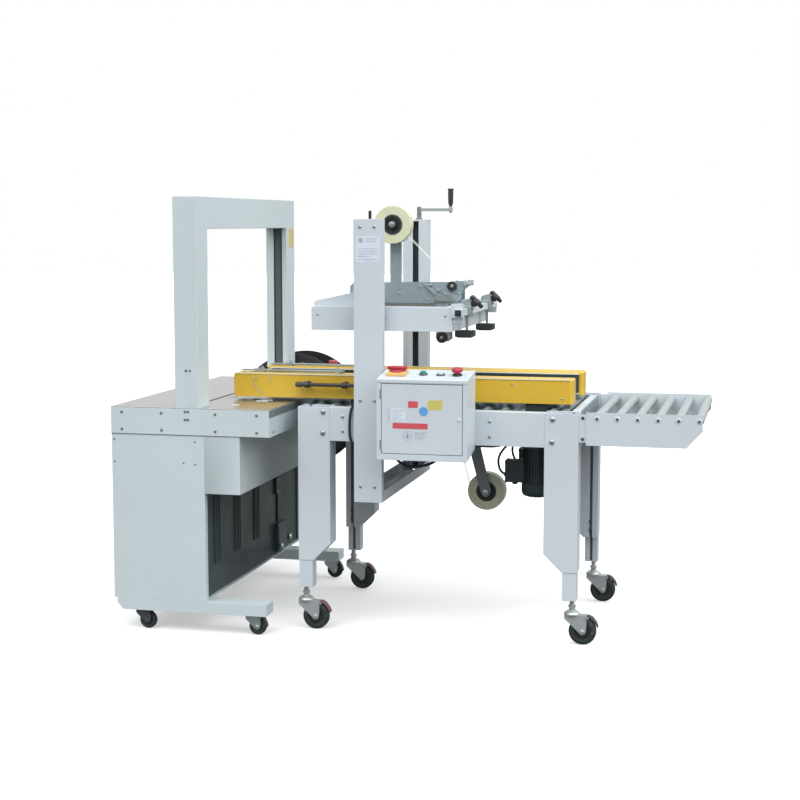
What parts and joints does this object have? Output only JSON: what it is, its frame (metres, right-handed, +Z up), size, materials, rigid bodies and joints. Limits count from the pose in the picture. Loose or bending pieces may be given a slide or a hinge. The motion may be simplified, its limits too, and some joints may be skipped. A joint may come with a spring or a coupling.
{
  "type": "carton sealing and strapping line",
  "caption": "Side-belt carton sealer with a lift head and roller extension, docked to a wheeled arch strapping machine.",
  "frame": {"origin": "middle of the line's bounding box, at floor level", "axes": "+X along the conveyor from the strapper to the roller extension, +Y away from the operator, +Z up"},
  "size_m": [2.117, 1.404, 1.624],
  "materials": {
    "sealer_paint": "light blue-grey powder coat, fine orange peel",
    "strapper_paint": "light green-grey powder coat, satin",
    "galvanised_steel": "galvanised sheet, dull",
    "stainless_steel": "polished stainless sheet",
    "charcoal_paint": "dark charcoal paint, satin",
    "yellow_paint": "safety yellow powder coat",
    "motor_black": "black paint, satin",
    "chrome": "bright plated",
    "black_plastic": "moulded black",
    "tape_film": "wound clear tape, pale yellow-green",
    "red_plastic": "moulded signal red",
    "green_plastic": "moulded green",
    "roller_steel": "zinc plated tube",
    "zinc": "bright zinc plated pressings",
    "wheel_rubber": "black rubber tread on a black hub"
  },
  "bodies": {
    "machine_frames": {"bed_rail_front": "sealer_paint", "bed_rail_rear": "sealer_paint", "bed_deck": "galvanised_steel", "leg_front_left": "sealer_paint", "leg_front_right": "sealer_paint", "leg_rear_left": "sealer_paint", "leg_rear_right": "sealer_paint", "column_front": "sealer_paint", "column_rear": "sealer_paint", "control_box": "sealer_paint", "lower_tape_head": "galvanised_steel", "extension_frame": "sealer_paint", "strapper_base": "strapper_paint", "strapper_cabinet": "strapper_paint", "cabinet_side_panel": "charcoal_paint", "table_frame": "strapper_paint", "table_plate_right": "stainless_steel", "arch": "strapper_paint", "strapping_head": "galvanised_steel"},
    "lift_head": {"head_frame": "sealer_paint", "upper_tape_head": "galvanised_steel"},
    "crank": {"crank_handle": "chrome"},
    "upper_roll": {"upper_tape_roll": "tape_film"},
    "front_presser": {"presser_front": "black_plastic"},
    "rear_presser": {"presser_rear": "black_plastic"},
    "front_belt": {"belt_unit_front": "yellow_paint", "motor_front": "motor_black"},
    "rear_belt": {"belt_unit_rear": "yellow_paint", "motor_rear": "motor_black"},
    "lower_roll": {"lower_tape_roll": "tape_film"},
    "door": {"control_door": "sealer_paint"},
    "switch_handle": {"main_switch": "red_plastic"},
    "start_plunger": {"start_button": "green_plastic"},
    "stop_plunger": {"stop_button": "black_plastic"},
    "sealer_estop": {"sealer_estop_button": "red_plastic"},
    "strapper_estop": {"strapper_estop_button": "red_plastic"},
    "table_flap": {"table_flap_left": "strapper_paint"},
    "reel": {"strap_reel": "black_plastic"},
    "roller_1": {"extension_roller_1": "roller_steel"},
    "roller_2": {"extension_roller_2": "roller_steel"},
    "roller_3": {"extension_roller_3": "roller_steel"},
    "roller_4": {"extension_roller_4": "roller_steel"},
    "roller_5": {"extension_roller_5": "roller_steel"},
    "roller_6": {"extension_roller_6": "roller_steel"},
    "sealer_front_left_swivel_fork": {"sealer_front_left_fork": "zinc"},
    "sealer_front_left_rolling_wheel": {"sealer_front_left_wheel": "wheel_rubber"},
    "sealer_front_right_swivel_fork": {"sealer_front_right_fork": "zinc"},
    "sealer_front_right_rolling_wheel": {"sealer_front_right_wheel": "wheel_rubber"},
    "sealer_rear_left_swivel_fork": {"sealer_rear_left_fork": "zinc"},
    "sealer_rear_left_rolling_wheel": {"sealer_rear_left_wheel": "wheel_rubber"},
    "sealer_rear_right_swivel_fork": {"sealer_rear_right_fork": "zinc"},
    "sealer_rear_right_rolling_wheel": {"sealer_rear_right_wheel": "wheel_rubber"},
    "strapper_front_left_swivel_fork": {"strapper_front_left_fork": "zinc"},
    "strapper_front_left_rolling_wheel": {"strapper_front_left_wheel": "wheel_rubber"},
    "strapper_front_right_swivel_fork": {"strapper_front_right_fork": "zinc"},
    "strapper_front_right_rolling_wheel": {"strapper_front_right_wheel": "wheel_rubber"},
    "strapper_rear_left_swivel_fork": {"strapper_rear_left_fork": "zinc"},
    "strapper_rear_left_rolling_wheel": {"strapper_rear_left_wheel": "wheel_rubber"},
    "strapper_rear_right_swivel_fork": {"strapper_rear_right_fork": "zinc"},
    "strapper_rear_right_rolling_wheel": {"strapper_rear_right_wheel": "wheel_rubber"}
  },
  "joints": [
    {"name": "head_lift", "type": "slide", "parent": "machine_frames", "child": "lift_head", "axis": [0, 0, 1], "range_m": [-0.1, 0.2]},
    {"name": "crank_turn", "type": "hinge", "parent": "machine_frames", "child": "crank", "pos_m": [-0.113, 0.21, 1.547], "axis": [0, 0, 1], "range_deg": [-3600, 7200]},
    {"name": "upper_roll_spin", "type": "hinge", "parent": "lift_head", "child": "upper_roll", "pos_m": [-0.123, -0.183, 1.481], "axis": [0, 1, 0], "continuous": true},
    {"name": "presser_front_slide", "type": "slide", "parent": "lift_head", "child": "front_presser", "axis": [0, 1, 0], "range_m": [-0.08, 0.12]},
    {"name": "presser_rear_slide", "type": "slide", "parent": "lift_head", "child": "rear_presser", "axis": [0, 1, 0], "range_m": [-0.09, 0.11]},
    {"name": "belt_front_slide", "type": "slide", "parent": "machine_frames", "child": "front_belt", "axis": [0, 1, 0], "range_m": [-0.1, 0.03]},
    {"name": "belt_rear_slide", "type": "slide", "parent": "machine_frames", "child": "rear_belt", "axis": [0, 1, 0], "range_m": [-0.03, 0.1]},
    {"name": "lower_roll_spin", "type": "hinge", "parent": "machine_frames", "child": "lower_roll", "pos_m": [0.24, -0.183, 0.482], "axis": [0, 1, 0], "continuous": true},
    {"name": "control_door_hinge", "type": "hinge", "parent": "machine_frames", "child": "door", "pos_m": [-0.043, -0.702, 0.8], "axis": [0, 0, -1], "range_deg": [0, 110]},
    {"name": "main_switch_turn", "type": "hinge", "parent": "machine_frames", "child": "switch_handle", "pos_m": [-0.003, -0.627, 0.9585], "axis": [0, -0.1516, 0.9884], "range_deg": [0, 90]},
    {"name": "start_press", "type": "slide", "parent": "machine_frames", "child": "start_plunger", "axis": [0, 0.1516, -0.9884], "range_m": [0, 0.004], "stiffness_N_per_m": 300},
    {"name": "stop_press", "type": "slide", "parent": "machine_frames", "child": "stop_plunger", "axis": [0, 0.1516, -0.9884], "range_m": [0, 0.004], "stiffness_N_per_m": 300},
    {"name": "sealer_estop_press", "type": "slide", "parent": "machine_frames", "child": "sealer_estop", "axis": [0, 0.1516, -0.9884], "range_m": [0, 0.006], "stiffness_N_per_m": 400},
    {"name": "strapper_estop_press", "type": "slide", "parent": "machine_frames", "child": "strapper_estop", "axis": [0, 0, -1], "range_m": [0, 0.006], "stiffness_N_per_m": 400},
    {"name": "table_flap_hinge", "type": "hinge", "parent": "machine_frames", "child": "table_flap", "pos_m": [-1.06, -0.102, 0.826], "axis": [0, -1, 0], "range_deg": [0, 95]},
    {"name": "strap_reel_spin", "type": "hinge", "parent": "machine_frames", "child": "reel", "pos_m": [-0.73, 0.6, 0.678], "axis": [0, 1, 0], "continuous": true},
    {"name": "roller_1_spin", "type": "hinge", "parent": "machine_frames", "child": "roller_1", "pos_m": [0.691, -0.1995, 0.811], "axis": [0, 1, 0], "continuous": true},
    {"name": "roller_2_spin", "type": "hinge", "parent": "machine_frames", "child": "roller_2", "pos_m": [0.761, -0.1995, 0.811], "axis": [0, 1, 0], "continuous": true},
    {"name": "roller_3_spin", "type": "hinge", "parent": "machine_frames", "child": "roller_3", "pos_m": [0.831, -0.1995, 0.811], "axis": [0, 1, 0], "continuous": true},
    {"name": "roller_4_spin", "type": "hinge", "parent": "machine_frames", "child": "roller_4", "pos_m": [0.901, -0.1995, 0.811], "axis": [0, 1, 0], "continuous": true},
    {"name": "roller_5_spin", "type": "hinge", "parent": "machine_frames", "child": "roller_5", "pos_m": [0.971, -0.1995, 0.811], "axis": [0, 1, 0], "continuous": true},
    {"name": "roller_6_spin", "type": "hinge", "parent": "machine_frames", "child": "roller_6", "pos_m": [1.041, -0.1995, 0.811], "axis": [0, 1, 0], "continuous": true},
    {"name": "sealer_front_left_swivel", "type": "hinge", "parent": "machine_frames", "child": "sealer_front_left_swivel_fork", "pos_m": [-0.374, -0.519, 0.102], "axis": [0, 0, 1], "continuous": true},
    {"name": "sealer_front_left_roll", "type": "hinge", "parent": "sealer_front_left_swivel_fork", "child": "sealer_front_left_rolling_wheel", "pos_m": [-0.336, -0.519, 0.049], "axis": [0, 1, 0], "continuous": true},
    {"name": "sealer_front_right_swivel", "type": "hinge", "parent": "machine_frames", "child": "sealer_front_right_swivel_fork", "pos_m": [0.608, -0.519, 0.102], "axis": [0, 0, 1], "continuous": true},
    {"name": "sealer_front_right_roll", "type": "hinge", "parent": "sealer_front_right_swivel_fork", "child": "sealer_front_right_rolling_wheel", "pos_m": [0.646, -0.519, 0.049], "axis": [0, 1, 0], "continuous": true},
    {"name": "sealer_rear_left_swivel", "type": "hinge", "parent": "machine_frames", "child": "sealer_rear_left_swivel_fork", "pos_m": [-0.374, 0.153, 0.102], "axis": [0, 0, 1], "continuous": true},
    {"name": "sealer_rear_left_roll", "type": "hinge", "parent": "sealer_rear_left_swivel_fork", "child": "sealer_rear_left_rolling_wheel", "pos_m": [-0.336, 0.153, 0.049], "axis": [0, 1, 0], "continuous": true},
    {"name": "sealer_rear_right_swivel", "type": "hinge", "parent": "machine_frames", "child": "sealer_rear_right_swivel_fork", "pos_m": [0.608, 0.153, 0.102], "axis": [0, 0, 1], "continuous": true},
    {"name": "sealer_rear_right_roll", "type": "hinge", "parent": "sealer_rear_right_swivel_fork", "child": "sealer_rear_right_rolling_wheel", "pos_m": [0.646, 0.153, 0.049], "axis": [0, 1, 0], "continuous": true},
    {"name": "strapper_front_left_swivel", "type": "hinge", "parent": "machine_frames", "child": "strapper_front_left_swivel_fork", "pos_m": [-0.967, -0.653, 0.068], "axis": [0, 0, 1], "continuous": true},
    {"name": "strapper_front_left_roll", "type": "hinge", "parent": "strapper_front_left_swivel_fork", "child": "strapper_front_left_rolling_wheel", "pos_m": [-0.942, -0.653, 0.032], "axis": [0, 1, 0], "continuous": true},
    {"name": "strapper_front_right_swivel", "type": "hinge", "parent": "machine_frames", "child": "strapper_front_right_swivel_fork", "pos_m": [-0.543, -0.653, 0.068], "axis": [0, 0, 1], "continuous": true},
    {"name": "strapper_front_right_roll", "type": "hinge", "parent": "strapper_front_right_swivel_fork", "child": "strapper_front_right_rolling_wheel", "pos_m": [-0.518, -0.653, 0.032], "axis": [0, 1, 0], "continuous": true},
    {"name": "strapper_rear_left_swivel", "type": "hinge", "parent": "machine_frames", "child": "strapper_rear_left_swivel_fork", "pos_m": [-0.952, 0.323, 0.068], "axis": [0, 0, 1], "continuous": true},
    {"name": "strapper_rear_left_roll", "type": "hinge", "parent": "strapper_rear_left_swivel_fork", "child": "strapper_rear_left_rolling_wheel", "pos_m": [-0.927, 0.323, 0.032], "axis": [0, 1, 0], "continuous": true},
    {"name": "strapper_rear_right_swivel", "type": "hinge", "parent": "machine_frames", "child": "strapper_rear_right_swivel_fork", "pos_m": [-0.525, 0.323, 0.068], "axis": [0, 0, 1], "continuous": true},
    {"name": "strapper_rear_right_roll", "type": "hinge", "parent": "strapper_rear_right_swivel_fork", "child": "strapper_rear_right_rolling_wheel", "pos_m": [-0.5, 0.323, 0.032], "axis": [0, 1, 0], "continuous": true}
  ],
  "couplings": [
    {"joint": "crank_turn", "follows": "head_lift", "rad_per_m": 628.32},
    {"joint": "belt_rear_slide", "follows": "belt_front_slide", "ratio": -1}
  ]
}
